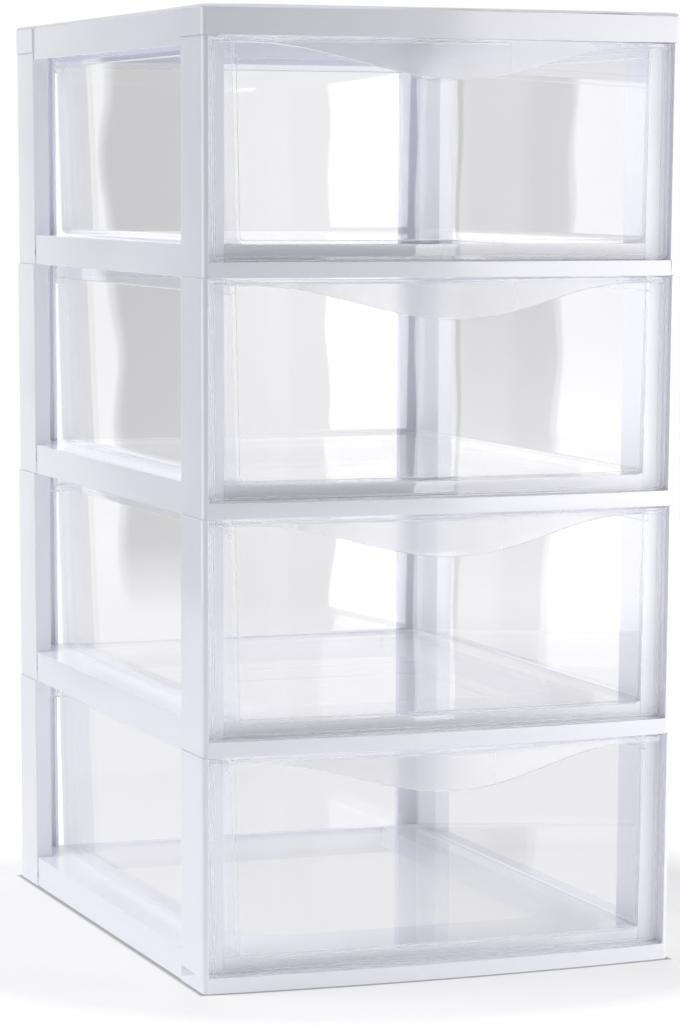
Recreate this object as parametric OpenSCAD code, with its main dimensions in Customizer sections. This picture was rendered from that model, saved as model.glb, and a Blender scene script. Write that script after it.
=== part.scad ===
// Drawer tower: four stacked tiers under a lid. A tier is a shelf frame with four hollow
// posts standing on its corners, and one clear drawer that slides out towards -Y.
// Tier 1 is the lowest. The floor is z = 0, and the origin is the middle of the footprint,
// counted to the front of the drawer handles.

/* [Tower] */
// Width across the posts
tower_w = 265; // [230:1:320]
// Depth of a side, from the front corner to the back
tower_d = 346.5; // [280:0.5:420]
// How far the middle of the front stands ahead of its corners
front_bow = 6; // [3:0.5:9]
// Height of one tier
tier_h = 122.6; // [100:0.1:170]
// Radius of the upright corners
corner_r = 3; // [2:0.5:5]

/* [Shelf frame] */
// Height of the front rail, which the drawer front stands above
front_rail_h = 8.3; // [7.5:0.1:11]
// Height of the side and back rails, which is the height of the ledges
side_rail_h = 17; // [14:0.5:24]
// Width of the ledge that carries a drawer at each side
ledge_w = 34; // [28:0.5:44]
// Depth of the shelf across the front, from the front corners
front_shelf_d = 50; // [42:1:70]
// Depth of the rail across the back
back_rail_d = 7; // [6:0.5:14]
// Length of the gussets that close the front corners of the gap in a shelf frame
gusset = 28; // [10:1:36]
// Thickness of the moulded walls of a shelf frame
frame_wall = 2; // [1.6:0.1:2.6]
// Height of the skirt that stiffens the inner edge of the ledges
skirt_h = 12; // [6:0.5:13]
// How far the side rails lie behind the faces of the posts
rail_recess = 0.7; // [0.3:0.1:1]

/* [Posts] */
// Width of a front post, seen from the side
front_post_d = 36.5; // [30:0.5:46]
// Thickness of a front post, seen from the front
front_post_t = 14; // [12:0.5:17]
// Width of a back post, seen from the side
back_post_d = 35; // [28:0.5:46]
// Thickness of the hollow part of a back post
back_post_t = 9.2; // [8:0.1:12]
// Width of the flange of a back post, seen from behind
back_flange_w = 22.5; // [16:0.5:24]
// Depth of the stiffening edge along the flange of a back post
flange_edge_d = 4.5; // [3:0.1:4.7]
// Width of the lip beside the drawer front
lip_w = 3.1; // [2.4:0.1:3.4]
// Depth of the recess that the drawer front closes into
lip_d = 8; // [6.5:0.5:10]
// Thickness of the walls of a post
post_wall = 2; // [1.6:0.1:2.4]
// Height of the pegs that join posts, shelf frames and lid
peg_h = 4.5; // [3:0.5:5]
// Clearance round a peg and between a post and the rails
peg_gap = 0.3; // [0.2:0.05:0.5]

/* [Lid] */
// Height of the lid's outer wall
lid_h = 15.6; // [12:0.1:24]
// How far the lid stands out past the posts
lid_over = 0.4; // [0.2:0.1:0.8]
// Thickness of the lid's outer wall
lid_wall = 2; // [1.6:0.1:2.6]
// Thickness of the lid's top
lid_top_t = 3; // [2.4:0.1:4]
// Radius of the rounded top edge
lid_edge_r = 2; // [1:0.1:2.3]
// How far the lid's inner lip reaches down between the posts
lid_lip_h = 4; // [2:0.5:6]
// Width of the flat border round the sunk top
lid_rim_w = 11; // [8:0.5:20]
// How deep the top is sunk inside its border
lid_sunk = 1; // [0.6:0.1:1.4]

/* [Drawer front] */
// Gap beside the drawer front, at its top
panel_side_gap = 1.4; // [0.7:0.1:2.5]
// How much each side of the drawer front leans in towards its foot
panel_lean = 1.2; // [0.4:0.1:2]
// How far the drawer front lies behind the face of the rails
panel_recess = 0.8; // [0.5:0.1:1.2]
// Thickness of the drawer front
panel_t = 2; // [1.6:0.1:2.4]
// Radius of the corners of the drawer front
panel_r = 3; // [2.5:0.5:6]
// Gap above and below the drawer front
panel_gap = 0.7; // [0.4:0.1:1]
// Gap behind the edge of the drawer front when it is closed
stop_gap = 0.4; // [0.3:0.1:0.8]

/* [Handle] */
// How far the middle of the handle stands ahead of the rails
handle_out = 11; // [8:0.5:14]
// Height of the handle at its middle
handle_h = 20.5; // [14:0.5:26]
// Height of the handle at its ends
handle_end_h = 2.8; // [2.2:0.1:4]
// Distance from the side of the drawer front to where the handle starts to swell
handle_in = 20; // [16:1:48]
// Thickness of the handle
handle_t = 1.8; // [1.5:0.1:2.2]

/* [Drawer tub] */
// Thickness of the tub's walls and floor
tub_wall = 1.8; // [1.4:0.1:2.4]
// Running gap between the tub and the ledges it slides on
run_gap = 0.3; // [0.3:0.05:0.6]
// Gap between the tub's rim and the front posts
side_gap = 0.8; // [0.5:0.1:1.5]
// How much each side wall leans in towards the floor
side_draft = 2.5; // [1:0.5:6]
// How much the back wall leans in towards the floor
back_draft = 1.5; // [1:0.5:5]
// Space left behind the tub
back_space = 23; // [14:0.5:40]
// Radius of the tub's upright back corners
tub_r = 8; // [5:0.5:14]
// Radius of the rounded edges where the tub's walls meet its floor
floor_r = 4; // [3:0.5:4.5]
// Height of the rim round the tub's edge
rim_h = 7.3; // [5:0.1:10]
// How far the rim stands out from the tub
rim_out = 1.2; // [0.8:0.1:1.8]
// Width of the stop lugs at the back corners, out from the tub wall
lug_w = 5; // [4:0.5:5.5]
// Length of a stop lug
lug_l = 6; // [4:0.5:10]
// Height of a stop lug
lug_h = 10.8; // [8:0.1:14]
// Distance from the tub's back to the lug
lug_in = 1.5; // [0.5:0.5:4]

/* [Hidden] */

frame_colour = [0.93, 0.93, 0.96];
drawer_colour = [0.86, 0.88, 0.93, 0.4];

// Number of tiers
tiers = 4;
// Overlap that keeps a cut clear of the face it starts from
cut = 1;
// Thickness of the slices that a leaning wall is stretched between
slice = 0.02;
// Straight steps in an upright corner, along the bowed front and along the handle
corner_steps = 6;
bow_steps = 24;
handle_steps = 42;
// Slices that make the rounded top edge of the lid and the rounded edges of the tub's floor
edge_steps = 5;
floor_steps = 4;

half_w = tower_w / 2;
// The handle and the lid's overhang set the depth that the origin is centred on
back_y = (tower_d + front_bow + handle_out - lid_over) / 2;
front_y = back_y - tower_d;
// Radius and centre of the circle that the bowed front follows
bow_r = (half_w * half_w + front_bow * front_bow) / (2 * front_bow);
bow_y = front_y - front_bow + bow_r;

// Face of the front posts that the drawer front closes against
stop_y = front_y + lip_d;
front_post_y = front_y + front_post_d;
back_post_y = back_y - back_post_d;
front_post_x = half_w - front_post_t;
back_post_x = half_w - back_post_t;
flange_x = half_w - back_flange_w;
ledge_x = half_w - ledge_w;
panel_x = half_w - lip_w - panel_side_gap;
handle_x = panel_x - handle_in;

// Heights in a tier, counted from the foot of its shelf frame
drawer_top = tier_h - panel_gap;
panel_foot = front_rail_h + panel_gap;
tub_foot = side_rail_h + run_gap;
lug_foot = drawer_top - lug_h;

rim_x = front_post_x - side_gap;
tub_x = rim_x - rim_out;
tub_back = back_y - back_space;
lug_y = tub_back - lug_in - lug_l;
hood_x = panel_x - panel_r;

// Points of an arc about a centre, between two angles
function arc(centre, r, from, to, steps) = [
    for (i = [0 : steps]) let (a = from + (to - from) * i / steps)
        centre + r * [cos(a), sin(a)]
];

// Plan of the tower, moved in by inset: bowed front, rounded corners
function outline(inset) = let (
    r = corner_r,
    side = half_w - inset,
    bow = bow_r - inset,
    cx = side - r,
    cy = bow_y - sqrt((bow - r) * (bow - r) - cx * cx),
    lean = atan2(bow_y - cy, cx),
    by = back_y - inset - r
) concat(
    arc([cx, cy], r, 0, -lean, corner_steps),
    [for (i = [1 : bow_steps - 1]) let (a = -lean - (180 - 2 * lean) * i / bow_steps)
        [bow * cos(a), bow_y + bow * sin(a)]],
    arc([-cx, cy], r, lean - 180, -180, corner_steps),
    arc([-cx, by], r, 180, 90, corner_steps),
    arc([cx, by], r, 90, 0, corner_steps)
);

// Depth of the bowed face at x, moved in by inset
function face_y(x, inset) = bow_y - sqrt((bow_r - inset) * (bow_r - inset) - x * x);

// Share of the handle's full swell at x: 1 in the middle, 0 at its ends
function swell(x) = abs(x) < handle_x ? pow(cos(90 * x / handle_x), 2) : 0;

function handle_y(x) = face_y(x, 0) - handle_out * swell(x);
function handle_foot(x) = drawer_top - handle_end_h - (handle_h - handle_end_h) * swell(x);

// Plan of the tub: square at the front, where the drawer front closes it
function tub_plan(x, back, r) = concat(
    [[x, front_y - front_bow], [x, back - r]],
    arc([x - r, back - r], r, 0, 90, corner_steps),
    arc([r - x, back - r], r, 90, 180, corner_steps),
    [[-x, front_y - front_bow]]
);

// The drawer front seen from the front, moved in by inset
function panel_shape(inset) = let (
    top = drawer_top - inset,
    foot = panel_foot + inset,
    x_top = panel_x - inset,
    x_foot = x_top - panel_lean,
    r = panel_r - inset
) concat(
    [[x_top, top], [-x_top, top]],
    arc([r - x_foot, foot + r], r, 180, 270, corner_steps),
    arc([x_foot - r, foot + r], r, 270, 360, corner_steps)
);

module both_sides() {
    children();
    mirror([1, 0, 0]) children();
}

// A shape drawn in x and z, as deep as the whole tower
module through_y() {
    translate([0, back_y, 0]) rotate([90, 0, 0])
        linear_extrude(tower_d + front_bow + handle_out + cut) children();
}

// Gap in the middle of a shelf frame, grown on every side
module gap_plan(grow) {
    x = ledge_x + grow;
    near = front_y + front_shelf_d - grow;
    far = back_y - back_rail_d + grow;
    g = gusset - grow * (2 - sqrt(2));
    polygon([[x, near + g], [x, far], [-x, far], [-x, near + g], [g - x, near], [x - g, near]]);
}

// Where the rails are low, because a post or the drawer front stands there
module low_plan(grow) {
    both_sides() {
        translate([front_post_x - grow, stop_y])
            square([front_post_t + grow + cut, front_post_d - lip_d + grow]);
        translate([back_post_x - grow, back_post_y - grow])
            square([back_post_t + grow + cut, back_post_d + grow + cut]);
        translate([flange_x - grow, back_y - post_wall - grow])
            square([back_flange_w + grow + cut, post_wall + grow + cut]);
        translate([flange_x - grow, back_y - flange_edge_d - grow])
            square([post_wall + 2 * grow, flange_edge_d + grow + cut]);
    }
    translate([-half_w - cut, front_y - front_bow - cut])
        square([tower_w + 2 * cut, front_bow + lip_d + cut + max(0, grow - peg_gap)]);
}

module frame_plan(inset) {
    difference() {
        polygon(outline(inset));
        gap_plan(inset);
    }
}

module high_plan(inset) {
    difference() {
        frame_plan(inset);
        low_plan(peg_gap + inset);
    }
}

// Block that fills the hollow of a post, less the clearance
module front_peg(h) {
    room = post_wall + peg_gap;
    translate([front_post_x + room, stop_y + room, 0])
        cube([front_post_t - 2 * room, front_post_d - lip_d - 2 * room, h]);
}

module back_peg(h) {
    room = post_wall + peg_gap;
    translate([back_post_x + room, back_post_y + room, 0])
        cube([back_post_t - 2 * room, back_post_d - 2 * room, h]);
}

module shelf_frame() {
    rail_length = back_post_y - front_post_y;
    color(frame_colour) {
        difference() {
            union() {
                linear_extrude(front_rail_h) frame_plan(0);
                linear_extrude(side_rail_h) high_plan(0);
            }
            translate([0, 0, -cut]) {
                linear_extrude(front_rail_h - frame_wall + cut) frame_plan(frame_wall);
                linear_extrude(side_rail_h - frame_wall + cut) high_plan(frame_wall);
                linear_extrude(side_rail_h - skirt_h + cut) gap_plan(frame_wall + slice);
                both_sides() translate([half_w - rail_recess, front_post_y, 0])
                    cube([rail_recess + cut, rail_length, side_rail_h + 2 * cut]);
            }
        }
        translate([0, 0, front_rail_h]) both_sides() {
            front_peg(peg_h);
            back_peg(peg_h);
        }
    }
}

// Right-hand posts; the left-hand ones are their mirror images
module front_post_box(wall) {
    translate([front_post_x + wall, stop_y + wall])
        square([front_post_t - 2 * wall, front_post_d - lip_d - 2 * wall]);
}

module back_post_box(wall) {
    intersection() {
        polygon(outline(wall));
        translate([back_post_x + wall, back_post_y + wall]) square([back_post_t, back_post_d]);
    }
}

module front_post_plan() {
    front_post_box(0);
    intersection() {
        polygon(outline(0));
        translate([half_w - lip_w, front_y - front_bow]) square([lip_w, front_bow + lip_d]);
    }
}

// The flange of a back post, with a stiffening edge that points forward
module back_post_plan() {
    back_post_box(0);
    intersection() {
        polygon(outline(0));
        translate([flange_x, back_y - post_wall]) square([back_flange_w, post_wall]);
    }
    translate([flange_x, back_y - flange_edge_d]) square([post_wall, flange_edge_d]);
}

// A hollow post, closed at its top and open at its foot
module post_shell() {
    difference() {
        translate([0, 0, front_rail_h]) linear_extrude(tier_h - front_rail_h) children(0);
        translate([0, 0, front_rail_h - cut])
            linear_extrude(tier_h - front_rail_h - post_wall + cut) children(1);
    }
}

module front_post() {
    color(frame_colour) {
        post_shell() {
            front_post_plan();
            front_post_box(post_wall);
        }
        translate([0, 0, tier_h]) front_peg(peg_h);
    }
}

module back_post() {
    color(frame_colour) {
        post_shell() {
            back_post_plan();
            back_post_box(post_wall);
        }
        translate([0, 0, tier_h]) back_peg(peg_h);
    }
}

// Plan of the lid, moved in by inset: between the posts its sides lie back, in line with the rails
module lid_plan(inset) {
    difference() {
        polygon(outline(inset - lid_over));
        both_sides() translate([half_w - rail_recess - inset, front_post_y - inset])
            square([rail_recess + lid_over + inset + cut, back_post_y - front_post_y + 2 * inset]);
    }
}

module lid() {
    color(frame_colour) translate([0, 0, tiers * tier_h]) {
        difference() {
            union() {
                linear_extrude(lid_h - lid_edge_r) lid_plan(0);
                for (i = [1 : edge_steps]) {
                    rise = lid_edge_r * sin(90 * i / edge_steps);
                    inset = lid_edge_r * (1 - cos(90 * (i - 0.5) / edge_steps));
                    linear_extrude(lid_h - lid_edge_r + rise) lid_plan(inset);
                }
            }
            translate([0, 0, -cut])
                linear_extrude(lid_h - lid_top_t + cut) polygon(outline(lid_wall - lid_over));
            translate([0, 0, lid_h - lid_sunk])
                linear_extrude(lid_sunk + cut) polygon(outline(lid_rim_w));
        }
        lid_lip();
    }
}

// Wall inside the lid that fills the top of the side and back windows
module lid_lip() {
    h = lid_h - lid_top_t + lid_lip_h + slice;
    side_l = back_post_y - front_post_y - 2 * peg_gap;
    back_l = 2 * (flange_x - peg_gap);
    translate([0, 0, -lid_lip_h]) {
        both_sides() translate([half_w - rail_recess - lid_wall, front_post_y + peg_gap, 0])
            cube([lid_wall, side_l, h]);
        translate([-back_l / 2, back_y - rail_recess - lid_wall, 0])
            cube([back_l, lid_wall, h]);
    }
}

// The tub, wider at its rim than at its floor, which it meets in rounded edges
module tub_solid(wall) {
    r = floor_r - wall;
    hull() {
        for (i = [0 : floor_steps]) {
            rise = wall + r * (1 - cos(90 * i / floor_steps));
            inset = wall + r * (1 - sin(90 * i / floor_steps));
            lean = 1 - rise / (drawer_top - tub_foot);
            translate([0, 0, tub_foot + rise]) linear_extrude(slice)
                polygon(tub_plan(tub_x - side_draft * lean - inset,
                    tub_back - back_draft * lean - inset, tub_r - inset));
        }
        translate([0, 0, drawer_top + (wall > 0 ? cut : -slice)]) linear_extrude(slice)
            polygon(tub_plan(tub_x - wall, tub_back - wall, tub_r - wall));
    }
}

module tub() {
    intersection() {
        difference() {
            union() {
                tub_solid(0);
                translate([0, 0, drawer_top - rim_h]) linear_extrude(rim_h)
                    polygon(tub_plan(rim_x, tub_back + rim_out, tub_r + rim_out));
            }
            tub_solid(tub_wall);
        }
        linear_extrude(tier_h) polygon(outline(panel_recess + panel_t / 2));
    }
    both_sides() translate([tub_x - tub_wall / 2, lug_y, lug_foot])
        cube([lug_w + tub_wall / 2, lug_l, lug_h]);
}

// The bowed front, with an edge all round that reaches back to the posts
module drawer_front() {
    difference() {
        intersection() {
            through_y() polygon(panel_shape(0));
            linear_extrude(tier_h) intersection() {
                polygon(outline(panel_recess));
                translate([-half_w, front_y - front_bow])
                    square([tower_w, front_bow + lip_d - stop_gap]);
            }
        }
        intersection() {
            through_y() polygon(panel_shape(tub_wall));
            linear_extrude(tier_h) polygon(outline(panel_recess + panel_t));
        }
    }
}

// Plan of the finger gap between the drawer front and the handle
module finger_plan() {
    // The gap starts where the handle has swelled clear of the drawer front
    start = sqrt((handle_t - panel_recess) / handle_out);
    reach = handle_x * acos(start) / 90;
    xs = [for (i = [0 : handle_steps]) reach * (2 * i / handle_steps - 1)];
    polygon(concat(
        [for (x = xs) [x, handle_y(x) + handle_t]],
        [for (i = [handle_steps - 1 : -1 : 1]) [xs[i], face_y(xs[i], panel_recess)]]
    ));
}

// Hood over the finger gap, which is open below. Its foot is a wave
module handle() {
    seat = panel_recess + panel_t / 2;
    xs = [for (i = [0 : handle_steps]) hood_x * (2 * i / handle_steps - 1)];
    difference() {
        intersection() {
            linear_extrude(drawer_top) polygon(concat(
                [for (x = xs) [x, handle_y(x)]],
                [for (i = [handle_steps : -1 : 0]) [xs[i], face_y(xs[i], seat)]]
            ));
            through_y() polygon(concat(
                [for (x = xs) [x, handle_foot(x)]],
                [[hood_x, drawer_top + cut], [-hood_x, drawer_top + cut]]
            ));
        }
        linear_extrude(drawer_top - handle_t) finger_plan();
    }
}

module drawer() {
    color(drawer_colour) {
        tub();
        drawer_front();
        handle();
    }
}

// Lifts a piece to its tier
module in_tier(n) {
    translate([0, 0, (n - 1) * tier_h]) children();
}

module mirrored() {
    mirror([1, 0, 0]) children();
}

lid();
in_tier(1) shelf_frame();  // shelf_frame_1
in_tier(2) shelf_frame();  // shelf_frame_2
in_tier(3) shelf_frame();  // shelf_frame_3
in_tier(4) shelf_frame();  // shelf_frame_4
in_tier(1) mirrored() front_post();  // front_left_post_1
in_tier(2) mirrored() front_post();  // front_left_post_2
in_tier(3) mirrored() front_post();  // front_left_post_3
in_tier(4) mirrored() front_post();  // front_left_post_4
in_tier(1) front_post();  // front_right_post_1
in_tier(2) front_post();  // front_right_post_2
in_tier(3) front_post();  // front_right_post_3
in_tier(4) front_post();  // front_right_post_4
in_tier(1) mirrored() back_post();  // back_left_post_1
in_tier(2) mirrored() back_post();  // back_left_post_2
in_tier(3) mirrored() back_post();  // back_left_post_3
in_tier(4) mirrored() back_post();  // back_left_post_4
in_tier(1) back_post();  // back_right_post_1
in_tier(2) back_post();  // back_right_post_2
in_tier(3) back_post();  // back_right_post_3
in_tier(4) back_post();  // back_right_post_4
in_tier(1) drawer();  // drawer_1
in_tier(2) drawer();  // drawer_2
in_tier(3) drawer();  // drawer_3
in_tier(4) drawer();  // drawer_4
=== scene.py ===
# %% [markdown]
# # A clear plastic drawer tower
# Four open white frames are stacked under a lid, and each carries one clear drawer. The
# solids come ready made from the frame. This lesson gives them what moulded plastic has:
# softened edges, a slight lean to each wall, glossy white and clear finishes, and a studio
# in which clear plastic can be seen at all.

import math

import bmesh
import bpy
from mathutils import Euler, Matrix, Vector


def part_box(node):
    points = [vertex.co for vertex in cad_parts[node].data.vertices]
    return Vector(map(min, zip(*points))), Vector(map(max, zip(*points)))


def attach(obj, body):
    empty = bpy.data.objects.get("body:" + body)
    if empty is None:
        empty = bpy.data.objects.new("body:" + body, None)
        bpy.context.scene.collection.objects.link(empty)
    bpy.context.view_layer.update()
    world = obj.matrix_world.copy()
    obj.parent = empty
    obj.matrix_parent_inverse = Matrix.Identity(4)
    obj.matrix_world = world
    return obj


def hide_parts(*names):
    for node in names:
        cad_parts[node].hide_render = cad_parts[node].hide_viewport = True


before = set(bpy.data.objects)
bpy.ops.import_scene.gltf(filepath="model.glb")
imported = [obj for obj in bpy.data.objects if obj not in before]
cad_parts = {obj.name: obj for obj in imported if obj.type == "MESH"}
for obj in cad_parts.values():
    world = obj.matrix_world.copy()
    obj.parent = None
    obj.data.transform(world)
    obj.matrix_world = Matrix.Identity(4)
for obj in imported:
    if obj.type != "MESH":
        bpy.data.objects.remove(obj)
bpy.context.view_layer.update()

# %% [markdown]
# ## The camera
# A long lens from the front left, a little above the middle of the tower, so that the
# uprights stay nearly parallel. The sensor's 36 mm lie along the picture's long side.

# %% Camera
camera_data = bpy.data.cameras.new("camera")
camera_data.sensor_width = 36
camera_data.lens = 129.13
camera = bpy.data.objects.new("camera", camera_data)
camera.location = (-0.72365, -1.93165, 0.42038)
camera.rotation_euler = Euler([math.radians(a) for a in (84.750, -0.2014, -20.6276)])
bpy.context.scene.collection.objects.link(camera)
bpy.context.scene.camera = camera
print("camera at", tuple(camera.location))

# %% [markdown]
# ## Small helpers for shader nodes
# Materials can be clicked together in the editor or built in code. In code, a node tree reads
# best when each line says what one node does. `add` makes a node and fills its inputs with
# numbers or with links to other nodes' outputs, and `calc` is one step of arithmetic.

# %% Helpers
def fresh_tree(owner):
    """The emptied node tree of a material or a world."""
    owner.use_nodes = True
    owner.node_tree.nodes.clear()
    return owner.node_tree


def add(tree, kind, inputs=None, **settings):
    """A new node. inputs maps a socket's name or number to a value or to another socket."""
    node = tree.nodes.new("ShaderNode" + kind)
    for name, value in settings.items():
        setattr(node, name, value)
    for key, value in (inputs or {}).items():
        if isinstance(value, bpy.types.NodeSocket):
            tree.links.new(value, node.inputs[key])
        else:
            node.inputs[key].default_value = value
    return node


def calc(tree, operation, *values):
    """The result of one Math node."""
    return add(tree, "Math", dict(enumerate(values)), operation=operation).outputs[0]


print("helpers: fresh_tree, add, calc")

# %% [markdown]
# ## The studio's surroundings
# Clear plastic shows itself by what it mirrors. The camera, and light that has only passed
# through the drawers, meet a plain white backdrop. What the plastic mirrors is the room:
# the white backdrop behind, a dim gap to its left, a soft box further left, the dim side
# where the camera stands, and tall lights right of the camera. A strip light stands so close
# that only the walls inside the drawers mirror it, so there are two tables: one for mirrors
# on the outside, and one for light that has gone in through a wall first. The cloths' edges
# hang a little wavy. Rough light meets a soft, slightly cool glow, which is strongest behind
# the tower and on its right. Real panels round the tower could do the same, but a table of
# angles is quicker to tune.

# %% Tables of the surroundings
# Each entry is a compass angle, in degrees from +Y towards +X, and the brightness up to it
OUTSIDE = ((-100, 0.50), (-24.2, 2.20), (-16.9, 0.30), (90, 1.20), (157.0, 3.7), (180, 0.22))
INSIDE = ((-100, 0.50), (-24.2, 1.65), (-23.5, 0.05), (-16.9, 0.30),
          (90, 1.15), (157.2, 1.8), (159.6, 6.5), (180, 0.30))
INSIDE_LOW = ((90, 1.05), (157.2, 1.6), (159.6, 5.0), (180, 1.00))
PASSED = ((-150, 0.80), (18.4, 0.80), (22.3, 1.00), (75, 0.60), (180, 0.80))
GLOWING = ((-120, 0.17), (-20, 0.27), (60, 1.0), (130, 0.78), (180, 0.10))
# Half the width in degrees of the ramp between two zones of a table
BLUR_INSIDE, BLUR_OUTSIDE, BLUR_PASSED, BLUR_GLOWING = 0.04, 0.12, 0.4, 25
# How far each fold swings a cloth's edge, in degrees, and its radians per unit of height
DRAPE, FOLDS = 0.045, (75, 170)
# Heights are sines of the elevation. Where the floor begins, and its level in mirrors and
# through the drawers; then where the room grows dimmer upwards, and how much
FLOOR_EDGE, FLOOR_BLUR = -0.125, 0.01
FLOOR_MIRRORED = 1.0
PASSED_LOW, FLOOR_PASSED = (-0.04, -0.12), 0.92
HIGH, HIGH_LEVEL = (0.05, 0.22), 0.8
OVERHEAD, OVERHEAD_LEVEL = (0.45, 0.60), 0.4
GLOW_HIGH, GLOW_HIGH_SHARE = (0.3, 0.9), 0.4
# Colour of the glow that rough light meets, and the level of the backdrop for the camera
GLOW, BACKDROP = (0.935, 0.935, 1.0, 1), 1.0
print("surroundings: zones", len(OUTSIDE), len(INSIDE), len(PASSED), len(GLOWING))

# %% Surroundings
world = bpy.data.worlds.new("studio")
bpy.context.scene.world = world
tree = fresh_tree(world)
path = add(tree, "LightPath").outputs
direction = add(tree, "TexCoord").outputs["Generated"]
parts = add(tree, "SeparateXYZ", {0: direction}).outputs
compass = calc(tree, "MULTIPLY", calc(tree, "ARCTAN2", parts[0], parts[1]), 180 / math.pi)


def zones(table, blur, angle=compass):
    """Brightness round the compass: each zone's level, with a short ramp between zones."""
    level = table[0][1]
    for (edge, _), (_, further) in zip(table[:-1], table[1:]):
        step = add(tree, "MapRange", {"Value": angle, "From Min": edge - blur,
                                      "From Max": edge + blur},
                   interpolation_type="SMOOTHSTEP").outputs[0]
        level = add(tree, "Mix", {"Factor": step, "A": level, "B": further}).outputs[0]
    return level


def by_height(start, end, level, further):
    """One level up to a height, and another one past it."""
    share = add(tree, "MapRange",
                {"Value": parts[2], "From Min": start, "From Max": end}).outputs[0]
    return add(tree, "Mix", {"Factor": share, "A": level, "B": further}).outputs[0]


fold = calc(tree, "ADD", *[calc(tree, "SINE", calc(tree, "MULTIPLY", parts[2], speed))
                           for speed in FOLDS])
draped = calc(tree, "ADD", compass, calc(tree, "MULTIPLY", fold, DRAPE))
at_floor = (FLOOR_EDGE + FLOOR_BLUR, FLOOR_EDGE - FLOOR_BLUR)
inside = by_height(*at_floor, zones(INSIDE, BLUR_INSIDE, draped),
                   zones(INSIDE_LOW, BLUR_INSIDE, draped))
outside = by_height(*at_floor, zones(OUTSIDE, BLUR_OUTSIDE, draped), FLOOR_MIRRORED)
went_in = calc(tree, "GREATER_THAN", path["Transmission Depth"], 0.5)
brightness = add(tree, "Mix", {"Factor": went_in, "A": outside, "B": inside}).outputs[0]
brightness = by_height(*HIGH, brightness, calc(tree, "MINIMUM", brightness, HIGH_LEVEL))
brightness = by_height(*OVERHEAD, brightness, OVERHEAD_LEVEL)
passed = by_height(*PASSED_LOW, zones(PASSED, BLUR_PASSED), FLOOR_PASSED)

mirrored_once = calc(tree, "GREATER_THAN", path["Glossy Depth"], 0.5)
behind = add(tree, "Mix",
             {"Factor": path["Is Camera Ray"], "A": passed, "B": BACKDROP}).outputs[0]
seen_level = add(tree, "Mix",
                 {"Factor": mirrored_once, "A": behind, "B": brightness}).outputs[0]
seen = add(tree, "Background", {"Color": (1, 1, 1, 1), "Strength": seen_level}).outputs[0]
glowing = zones(GLOWING, BLUR_GLOWING)
glowing = by_height(*GLOW_HIGH, glowing, calc(tree, "MULTIPLY", glowing, GLOW_HIGH_SHARE))
glow = add(tree, "Background", {"Color": GLOW, "Strength": glowing}).outputs[0]
either = calc(tree, "MAXIMUM", path["Is Camera Ray"],
              calc(tree, "MAXIMUM", path["Is Glossy Ray"], path["Is Transmission Ray"]))
both = add(tree, "MixShader", {0: either, 1: glow, 2: seen}).outputs[0]
add(tree, "OutputWorld", {0: both})
print("surroundings:", len(tree.nodes), "nodes")

# %% [markdown]
# ## The floor
# A white sweep. More light would whiten it, but would bleach the tower as well. So its paint,
# which the lamps light, keeps the tower's shadow, and a plain glow does the rest of the way to
# white. The camera, mirrors, light that passes the drawers and light that bounces each meet
# a glow of their own. The camera's grows with the distance from the tower, so that the sweep
# melts into the backdrop, and it leaves out a thin line at the tower's foot: a painted shadow,
# which shows that the tower stands.

# %% Floor
FLOOR_RADIUS = 1.1
FLOOR_DROP = 0.0002
bpy.ops.mesh.primitive_circle_add(vertices=96, radius=FLOOR_RADIUS, fill_type="NGON",
                                  location=(0, 0, -FLOOR_DROP))
floor = bpy.context.object
floor.name = "floor"
print("floor radius:", FLOOR_RADIUS)

# %% Floor paint
SEEN_PAINT = (0.48, 0.48, 0.485, 1)
BOUNCING_PAINT = (0.82, 0.82, 0.84, 1)
PASSED_PAINT = (0.20, 0.20, 0.21, 1)
floor_paint = bpy.data.materials.new("floor_paint")
tree = fresh_tree(floor_paint)
path = add(tree, "LightPath").outputs
shade = add(tree, "Mix", {"Factor": path["Is Diffuse Ray"], "A": SEEN_PAINT,
                          "B": BOUNCING_PAINT}, data_type="RGBA").outputs["Result"]
shade = add(tree, "Mix", {"Factor": path["Is Transmission Ray"], "A": shade,
                          "B": PASSED_PAINT}, data_type="RGBA").outputs["Result"]
paint = add(tree, "BsdfDiffuse", {"Color": shade}).outputs[0]

# %% Floor glow
# Distance from the middle and level of the glow, near the tower and far from it
GLOW_NEAR, GLOW_FAR = (0.25, 0.49), (0.42, 1.15)
MIRRORED_GLOW, PASSED_GLOW, BOUNCING_GLOW = 0.55, 0.70, 0.38
# The painted shadow line runs just inside the outline of the foot. Its middle lies this far in,
# and the glow comes back between these distances from it
SHADOW_IN, SHADOW_CORE, SHADOW_END = 0.004, 0.0042, 0.0062
# How far the middle of the bowed front stands ahead of its corners
BOW = 0.006
spot = add(tree, "TexCoord").outputs["Object"]
away = add(tree, "VectorMath", {0: spot}, operation="LENGTH").outputs["Value"]
far = add(tree, "MapRange", {"Value": away, "From Min": GLOW_NEAR[0], "From Max": GLOW_FAR[0],
                             "To Min": GLOW_NEAR[1], "To Max": GLOW_FAR[1]}).outputs[0]
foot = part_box("shelf_frame_1")
x, y, _ = add(tree, "SeparateXYZ", {0: spot}).outputs
bow = calc(tree, "MULTIPLY", calc(tree, "MULTIPLY", x, x), BOW / foot[1].x ** 2)
ahead = calc(tree, "SUBTRACT", calc(tree, "ADD", bow, foot[0].y), y)
beside = calc(tree, "SUBTRACT", calc(tree, "ABSOLUTE", x), foot[1].x)
at_back = calc(tree, "SUBTRACT", y, foot[1].y)
clear_of = calc(tree, "MAXIMUM", calc(tree, "MAXIMUM", ahead, beside), at_back)
off_line = calc(tree, "ABSOLUTE", calc(tree, "ADD", clear_of, SHADOW_IN))
# Painted shadow: the camera's glow is left out along a thin line just inside the foot
beyond_painted_shadow = add(tree, "MapRange", {"Value": off_line, "From Min": SHADOW_CORE,
                             "From Max": SHADOW_END}).outputs[0]
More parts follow.
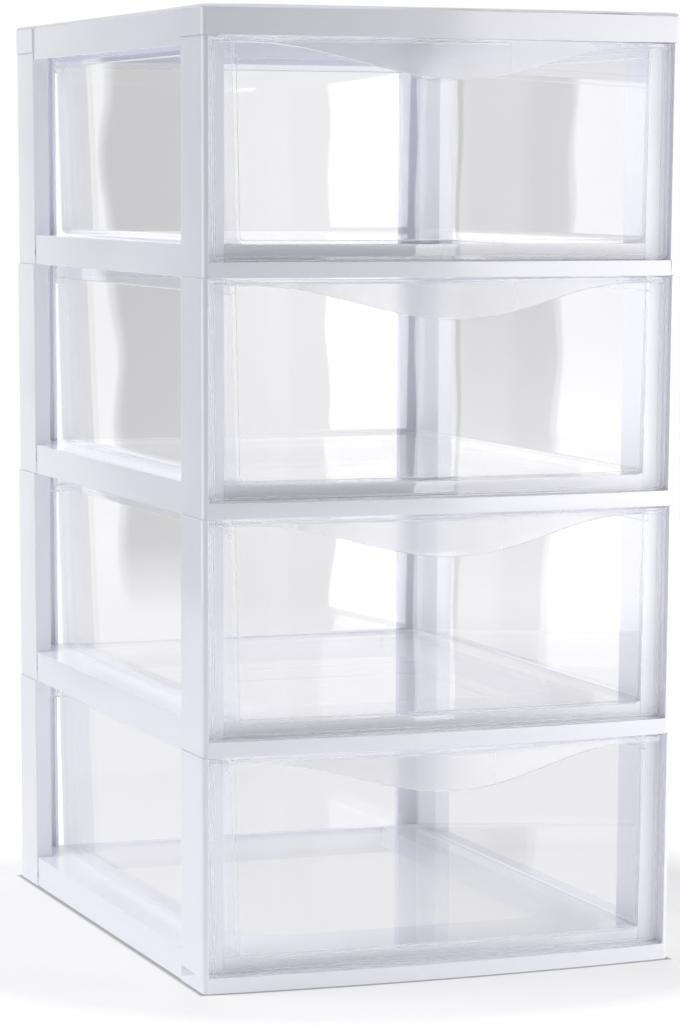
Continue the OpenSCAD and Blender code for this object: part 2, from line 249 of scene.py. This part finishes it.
direct = calc(tree, "MULTIPLY", calc(tree, "MULTIPLY", path["Is Camera Ray"], far), beyond_painted_shadow)
mirrored = calc(tree, "MULTIPLY", path["Is Glossy Ray"], MIRRORED_GLOW)
through = calc(tree, "MULTIPLY", path["Is Transmission Ray"], PASSED_GLOW)
bounced = calc(tree, "MULTIPLY", path["Is Diffuse Ray"], BOUNCING_GLOW)
strength = calc(tree, "MAXIMUM", calc(tree, "MAXIMUM", direct, bounced),
                calc(tree, "MAXIMUM", mirrored, through))
lift = add(tree, "Emission", {"Color": (1, 1, 1, 1), "Strength": strength})
sweep = add(tree, "AddShader", {0: paint, 1: lift.outputs[0]}).outputs[0]
add(tree, "OutputMaterial", {0: sweep})
floor.data.materials.append(floor_paint)
print("floor paint:", len(tree.nodes), "nodes")

# %% [markdown]
# ## The lamps
# The key is a soft box close to the right front corner, which is why the front grows brighter
# from left to right. A steep one from the upper left reaches the ledges through the side
# windows, and one high in front and one behind light the inside. Sun or point lamps would be
# simpler, but their shadows would be hard. The mirror images of the lamps are painted into the
# surroundings above, so the lamps themselves only light and cast shadows.

# %% Lamps
def soft_box(name, place, aim, size, power, tint=(1, 1, 1)):
    """A rectangular lamp. Places and sizes are in metres and the power in watts."""
    lamp = bpy.data.lights.new(name, "AREA")
    lamp.shape, lamp.size, lamp.size_y = "RECTANGLE", *size
    lamp.energy, lamp.color = power, tint
    holder = bpy.data.objects.new(name, lamp)
    holder.location = place
    holder.rotation_euler = (Vector(aim) - Vector(place)).to_track_quat("-Z", "Y").to_euler()
    holder.visible_camera = holder.visible_glossy = holder.visible_transmission = False
    bpy.context.scene.collection.objects.link(holder)
    print("lamp:", name, power, "W")


soft_box("key", (0.38, -0.49, 0.30), aim=(0.11, -0.16, 0.28), size=(0.3, 0.6), power=1.2,
         tint=(1, 0.985, 0.96))
soft_box("steep", (-1.3, 0.16, 2.45), aim=(-0.05, 0, 0.2), size=(1.1, 1.6), power=37,
         tint=(0.98, 0.98, 1))
soft_box("front", (-0.2, -1.1, 1.5), aim=(0, -0.1, 0.2), size=(0.9, 0.6), power=2.6)
soft_box("back", (0.45, 1.7, 1.1), aim=(0, 0, 0.2), size=(1.0, 1.0), power=6.5,
         tint=(0.96, 0.98, 1))

# %% [markdown]
# ## What every moulding shares
# Moulded plastic is never quite even: its colour is faintly cloudy, its gloss changes where
# the melt cooled at a different speed, and broad walls are a little wavy. All the plastics
# here use one node group for that, each with its own amounts. Walls that face sideways are
# the longest ones, and they are the waviest: there the group tips the normal a little. A Bump
# node could do it too, but there the tilt would change with the size of the waves.

# %% Moulded surface
# The waves are drawn out along a wall, start where a wall faces sideways by this much, and
# tip the normal mostly up and down
WAVE_STRETCH, WAVES_FROM, WAVE_LEAN = (1, 0.4, 1.3), 0.3, (0, 0.25, 1)
FINE_CLOUDS = 5


def moulded_surface():
    """The node group that gives a material its clouds, its uneven gloss and its waves."""
    group = bpy.data.node_groups.new("moulded_surface", "ShaderNodeTree")
    for name in ("Cloud Scale", "Dull From", "Dull To", "Wave Scale", "Wave Tilt"):
        group.interface.new_socket(name, in_out="INPUT", socket_type="NodeSocketFloat")
    for name, kind in (("Clouds", "Float"), ("Roughness", "Float"), ("Normal", "Vector")):
        group.interface.new_socket(name, in_out="OUTPUT", socket_type="NodeSocket" + kind)
    given = group.nodes.new("NodeGroupInput").outputs
    place = add(group, "TexCoord").outputs["Object"]
    drawn_out = add(group, "Mapping", {"Vector": place, "Scale": WAVE_STRETCH}).outputs[0]

    def noise(scale, detail, vector=place):
        return add(group, "TexNoise", {"Vector": vector, "Scale": scale, "Detail": detail}).outputs

    fine = noise(calc(group, "MULTIPLY", given["Cloud Scale"], FINE_CLOUDS), 3)["Fac"]
    dull = add(group, "MapRange", {"Value": fine, "To Min": given["Dull From"],
                                   "To Max": given["Dull To"]})
    flat = add(group, "NewGeometry").outputs["Normal"]
    sideways = calc(group, "ABSOLUTE", add(group, "SeparateXYZ", {0: flat}).outputs[0])
    amount = add(group, "MapRange", {"Value": sideways, "From Min": WAVES_FROM,
                                     "To Max": given["Wave Tilt"]}).outputs[0]
    lean = add(group, "VectorMath", {0: noise(given["Wave Scale"], 0, drawn_out)["Color"],
                                     1: (0.5, 0.5, 0.5)}, operation="SUBTRACT").outputs[0]
    lean = add(group, "VectorMath", {0: lean, 1: WAVE_LEAN}, operation="MULTIPLY").outputs[0]
    lean = add(group, "VectorMath", {0: lean, "Scale": amount}, operation="SCALE").outputs[0]
    wave = add(group, "VectorMath", {0: flat, 1: lean}, operation="ADD").outputs[0]
    wave = add(group, "VectorMath", {0: wave}, operation="NORMALIZE")
    out = group.nodes.new("NodeGroupOutput").inputs
    group.links.new(noise(given["Cloud Scale"], 2)["Fac"], out["Clouds"])
    group.links.new(dull.outputs[0], out["Roughness"])
    group.links.new(wave.outputs[0], out["Normal"])
    return group


MOULDED = moulded_surface()


def moulded(tree, cloud_scale, dull, wave_scale, wave_tilt):
    """Places the shared group in a material, with that material's own amounts."""
    node = tree.nodes.new("ShaderNodeGroup")
    node.node_tree = MOULDED
    for socket, value in zip(node.inputs, (cloud_scale, *dull, wave_scale, wave_tilt)):
        socket.default_value = value
    return node.outputs


print("shared effect:", MOULDED.name, len(MOULDED.nodes), "nodes")

# %% [markdown]
# ## White moulded plastic
# The frames and the lid are glossy polypropylene: nearly white with a lavender cast, and
# mirror-like where the mould was polished. Subsurface could add the light that scatters inside
# the walls, but on a white this even it would hardly show, so the skin stays plain and the
# cloudy gloss does the work.

# %% White plastic
def white_plastic():
    """The finish of the frames and the lid."""
    material = bpy.data.materials.new("white_plastic")
    tree = fresh_tree(material)
    surface = moulded(tree, cloud_scale=9, dull=(0.07, 0.14), wave_scale=16, wave_tilt=0.07)
    colour = add(tree, "Mix", {"Factor": surface["Clouds"], "A": (0.925, 0.928, 0.99, 1),
                               "B": (0.94, 0.943, 0.995, 1)}, data_type="RGBA")
    skin = add(tree, "BsdfPrincipled", {"Base Color": colour.outputs["Result"],
                                        "Roughness": surface["Roughness"], "IOR": 1.54,
                                        "Normal": surface["Normal"]})
    add(tree, "OutputMaterial", {0: skin.outputs[0]})
    return material


WHITE = white_plastic()
print("white plastic:", WHITE.name)

# %% [markdown]
# ## Clear moulded plastic
# A solid with the index of polystyrene would bend light at every wall and need many bounces.
# A thin clear wall hardly bends light, so here the body has an index of 1, and the mirror
# image comes from a coat with about the index of polystyrene. The same recipe gives the band
# of the rim, where the wall is thicker, the softly frosted hood and the rounded edges, which
# scatter light and so show as pale lines.

# %% Clear plastic
def clear_plastic(name, tints, dull, passing, index=1.0, coat_dull=0.004):
    """A clear finish. tints and dull are ranges, and passing is the share let through."""
    material = bpy.data.materials.new(name)
    tree = fresh_tree(material)
    surface = moulded(tree, cloud_scale=14, dull=dull, wave_scale=7, wave_tilt=0.065)
    colour = add(tree, "Mix", {"Factor": surface["Clouds"], "A": (*tints[0], 1),
                               "B": (*tints[1], 1)}, data_type="RGBA").outputs["Result"]
    body = add(tree, "BsdfPrincipled", {"Base Color": colour, "Roughness": surface["Roughness"],
                                        "IOR": index, "Transmission Weight": passing,
                                        "Coat Weight": 1.0, "Coat Roughness": coat_dull,
                                        "Coat IOR": 1.5, "Normal": surface["Normal"]})
    add(tree, "OutputMaterial", {0: body.outputs[0]})
    return material


CLEAR = clear_plastic("clear_plastic", tints=((0.984, 0.984, 0.998), (0.990, 0.990, 1.0)),
                      dull=(0.004, 0.008), passing=0.975)
RIM = clear_plastic("thick_clear_plastic", tints=((0.90, 0.92, 0.98), (0.92, 0.935, 0.985)),
                    dull=(0.03, 0.06), passing=0.93)
HOOD = clear_plastic("frosted_plastic", tints=((0.95, 0.95, 0.97), (0.97, 0.97, 0.985)),
                     dull=(0.18, 0.25), passing=0.78, index=1.12, coat_dull=0.3)
EDGE = clear_plastic("edge_plastic", tints=((0.98, 0.98, 1.0), (0.99, 0.99, 1.0)),
                     dull=(0.2, 0.3), passing=0.68, index=1.2, coat_dull=0.1)
print("clear plastics:", ", ".join(m.name for m in (CLEAR, RIM, HOOD, EDGE)))

# %% [markdown]
# ## Softening a moulding
# The solids come as loose triangles with sharp edges. Each visible piece is made from a
# joined copy: points that coincide are merged, flat areas become single faces, and every
# sharp edge gets a small radius, as in a real mould. An edge that stays sharp is marked so,
# and weighted normals keep the flat faces flat between the rounded edges. A Bevel modifier
# could round the edges too, but the operator can leave single edges out and says which faces
# it made, which the drawers' finishes need.

# %% Softening
# Faces closer in angle than FLAT are one face, and edges sharper than SHARP are rounded
FLAT, SHARP = math.radians(0.05), math.radians(25)
RADIUS, SEGMENTS = 0.00034, 2


def joined_copy(node, merge):
    """A mesh to work on, with the loose triangles of a solid joined."""
    bm = bmesh.new()
    bm.from_mesh(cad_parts[node].data)
    tidy(bm, merge)
    return bm


def tidy(bm, merge):
    """Merges points closer than merge, and makes flat areas single faces."""
    bmesh.ops.remove_doubles(bm, verts=bm.verts, dist=merge)
    bmesh.ops.dissolve_degenerate(bm, edges=bm.edges, dist=merge / 3)
    bmesh.ops.dissolve_limit(bm, angle_limit=FLAT, verts=bm.verts, edges=bm.edges)


def round_edges(bm, keep=lambda edge: False, clamp=False):
    """Rounds the sharp edges that keep() doesn't hold back. Gives the new faces."""
    chosen = []
    for edge in bm.edges:
        if len(edge.link_faces) == 2 and edge.calc_face_angle(0) > SHARP:
            edge.smooth = not keep(edge)
            if edge.smooth:
                chosen.append(edge)
    made = bmesh.ops.bevel(bm, geom=chosen, offset=RADIUS, offset_type="OFFSET",
                           segments=SEGMENTS, profile=0.5, affect="EDGES",
                           clamp_overlap=clamp, material=-1)
    return made["faces"]


def finished(bm, name, node, body, materials):
    """The piece that shows in a solid's place and rides on its body."""
    for face in bm.faces:
        face.smooth = True
    mesh = bpy.data.meshes.new(name)
    bm.to_mesh(mesh)
    bm.free()
    for material in materials:
        mesh.materials.append(material)
    piece = bpy.data.objects.new(name, mesh)
    bpy.context.scene.collection.objects.link(piece)
    normals = piece.modifiers.new("flat_faces", "WEIGHTED_NORMAL")
    normals.keep_sharp = True
    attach(piece, body)
    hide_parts(node)
    return piece


print("edges rounded to", RADIUS * 1000, "mm")

# %% [markdown]
# ## The lid
# The lid's rounded upper edge comes as five fine steps. A wide bevel could replace them, but
# they'd have to be cut away first. Moving each upright step to its place on the arc that the
# steps follow keeps the rest of the lid as it is, and the edge becomes a true quarter round.

# %% Lid
FRAME_MERGE = 0.00003
LID_RADIUS = 0.002
# An upright step is higher than the first of these and leans less than the second, and its
# foot is above the third, counted from the foot of the arc
STEP_HEIGHT, STEP_LEAN, STEP_START = 0.00002, 0.00004, -0.00001


def smooth_steps(bm, top, radius):
    """Moves the steps of a rounded upper edge onto its arc. Gives the number of points."""
    start = top - radius
    heights = {}
    for edge in bm.edges:
        low, high = sorted(v.co.z - start for v in edge.verts)
        lean = (edge.verts[0].co.xy - edge.verts[1].co.xy).length
        if low > STEP_START and high - low > STEP_HEIGHT and lean < STEP_LEAN:
            middle = (math.asin(max(low, 0) / radius) + math.asin(min(high / radius, 1))) / 2
            for v in edge.verts:
                heights[v] = start + radius * math.sin(middle)
    for v, z in heights.items():
        v.co.z = z
    return len(heights)


bm = joined_copy("lid", FRAME_MERGE)
moved = smooth_steps(bm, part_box("lid")[1].z, LID_RADIUS)
tidy(bm, FRAME_MERGE * 2)
made = round_edges(bm, clamp=True)
finished(bm, "lid_moulding", "lid", "frame", [WHITE])
print("points moved onto the arc:", moved, "rounding faces:", len(made))

# %% [markdown]
# ## The white frames
# Every tier is a hair wider at its top than at its foot, so that the moulding leaves its
# tool. That slight lean makes the seams between the tiers visible as fine steps. The joint
# between a post and its shelf frame stays flush and unrounded, and the rails' ends close up
# to the posts. Leaning solids would do the same, but a lean of the finished meshes leaves the
# joints of the solids true and simple.

# %% Sizes of the frames
# The lean of a tier, and the gap that the rails leave at the posts
LEAN, GAP = 0.00065, 0.00035
# Thickness of a back post, thickness of the lip beside a drawer front, and depth of a front
# post behind its lip
BACK_POST_T, LIP_T, BEHIND_LIP = 0.0092, 0.0031, 0.0285
front_post, back_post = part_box("front_left_post_1"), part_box("back_left_post_1")
tier_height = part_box("front_left_post_2")[0].z - front_post[0].z
rail_top = front_post[0].z
half_width = -front_post[0].x
post_ends = (front_post[1].y, back_post[0].y)
post_insides = (-front_post[1].x, half_width - BACK_POST_T)
flange_x = -back_post[1].x
lip_x = half_width - LIP_T
lip_end = post_ends[0] - BEHIND_LIP
print("height of a tier:", round(tier_height, 4), "half width:", round(half_width, 4))

# %% White frames
# A point this close to a height counts as at that height
LEVEL = 0.0001


def tier_of(node):
    """The number at the end of a node's name."""
    return int(node[-1])


def close_gaps(bm):
    """Moves the ends of the rails to the faces of the posts that they stop just short of."""
    for v in bm.verts:
        for end in post_ends:
            if abs(v.co.y - end) < GAP:
                v.co.y = end
        for inside in post_insides:
            if abs(abs(v.co.x) - inside) < GAP:
                v.co.x = math.copysign(inside, v.co.x)


def lean_in(bm, tier):
    """Draws a piece in towards the foot of its tier."""
    foot = (tier - 1) * tier_height
    for v in bm.verts:
        share = min(max(1 - (v.co.z - foot) / tier_height, 0), 1)
        v.co.x *= 1 - share * LEAN / half_width
        v.co.y *= 1 - share * LEAN / half_width


def under_post(x, y):
    """True where a post may stand on the shelf frame, or the lip beside a drawer front."""
    return (abs(x) > flange_x - GAP and y > lip_end - GAP) or abs(x) > lip_x - GAP


def at_joint(tier):
    """A test for the edges where this tier's posts stand on its shelf frame."""
    z = (tier - 1) * tier_height + rail_top

    def on_it(v):
        return abs(v.co.z - z) < LEVEL and under_post(v.co.x, v.co.y)

    return lambda edge: all(on_it(v) for v in edge.verts)


for node in sorted(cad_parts):
    if node.startswith("drawer") or node == "lid":
        continue
    bm = joined_copy(node, FRAME_MERGE)
    if node.startswith("shelf"):
        close_gaps(bm)
        tidy(bm, FRAME_MERGE * 2)
    made = round_edges(bm, keep=at_joint(tier_of(node)))
    lean_in(bm, tier_of(node))
    piece = finished(bm, node + "_moulding", node, "frame", [WHITE])
    print(piece.name, "rounding faces:", len(made), "faces:", len(piece.data.polygons))

# %% [markdown]
# ## The clear drawers
# One clear moulding each. The hood over the finger gap is frosted, the band of the rim is
# thicker than the wall, and the rounded edges scatter light. They could be pieces of their
# own, but faces of one mesh that take finishes of their own leave no seam in the clear wall.
# Slivers where two rounded forms meet are merged away before the edges are rounded.
# A clear wall hardly shades what stands behind it, so the lamps' light and rough light go
# straight through the drawers.

# %% Hood and rim of a drawer
# Height of the rim, how far its outer face lies inside the tower's side, and how close to
# a surface a face counts as part of it
RIM_H, RIM_INSET, NEAR = 0.0073, 0.0148, 0.0004
# A face whose normal rises less than this is upright
UPRIGHT = 0.3
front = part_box("shelf_frame_1")[0].y
rim_x = half_width - RIM_INSET
rim_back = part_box("drawer_1")[1].y


def in_hood(middle):
    """True for a face of the hood, which stands ahead of the drawer front."""
    x = middle.x / half_width
    return middle.y < front + BOW * x * x + NEAR


def on_rim(face, top):
    """True for a face of the outer band that runs round the top of the tub."""
    middle = face.calc_center_median()
    return middle.z > top - RIM_H and abs(face.normal.z) < UPRIGHT and (
        face.normal.x * middle.x > 0 and abs(middle.x) > rim_x - NEAR
        or middle.y > rim_back - NEAR)


print("front of the tower:", round(front, 4), "back of the rim:", round(rim_back, 4))

# %% Clear drawers
DRAWER_MERGE = 0.00018
TIERS = (1, 2, 3, 4)
FINISHES = [CLEAR, RIM, HOOD, EDGE]
for tier in TIERS:
    node = f"drawer_{tier}"
    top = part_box(node)[1].z
    bm = joined_copy(node, DRAWER_MERGE)
    made = set(round_edges(bm))
    for face in bm.faces:
        if in_hood(face.calc_center_median()):
            finish = HOOD
        elif face in made:
            finish = EDGE
        else:
            finish = RIM if on_rim(face, top) else CLEAR
        face.material_index = FINISHES.index(finish)
    counts = [sum(1 for f in bm.faces if f.material_index == i) for i in range(len(FINISHES))]
    loose = sum(1 for e in bm.edges if not e.is_manifold)
    piece = finished(bm, node + "_clear", node, node, FINISHES)
    piece.visible_diffuse = piece.visible_shadow = False
    print(piece.name, "faces: wall, rim, hood, edges", counts, "open edges:", loose)

# %% [markdown]
# ## The look of the picture
# Blender's own default view softens strong light but greys the whites. The Standard view shows
# each colour about as it is written, which a white tower before a white backdrop needs.

# %% Look settings
bpy.context.scene.view_settings.view_transform = "Standard"
print("view:", bpy.context.scene.view_settings.view_transform)
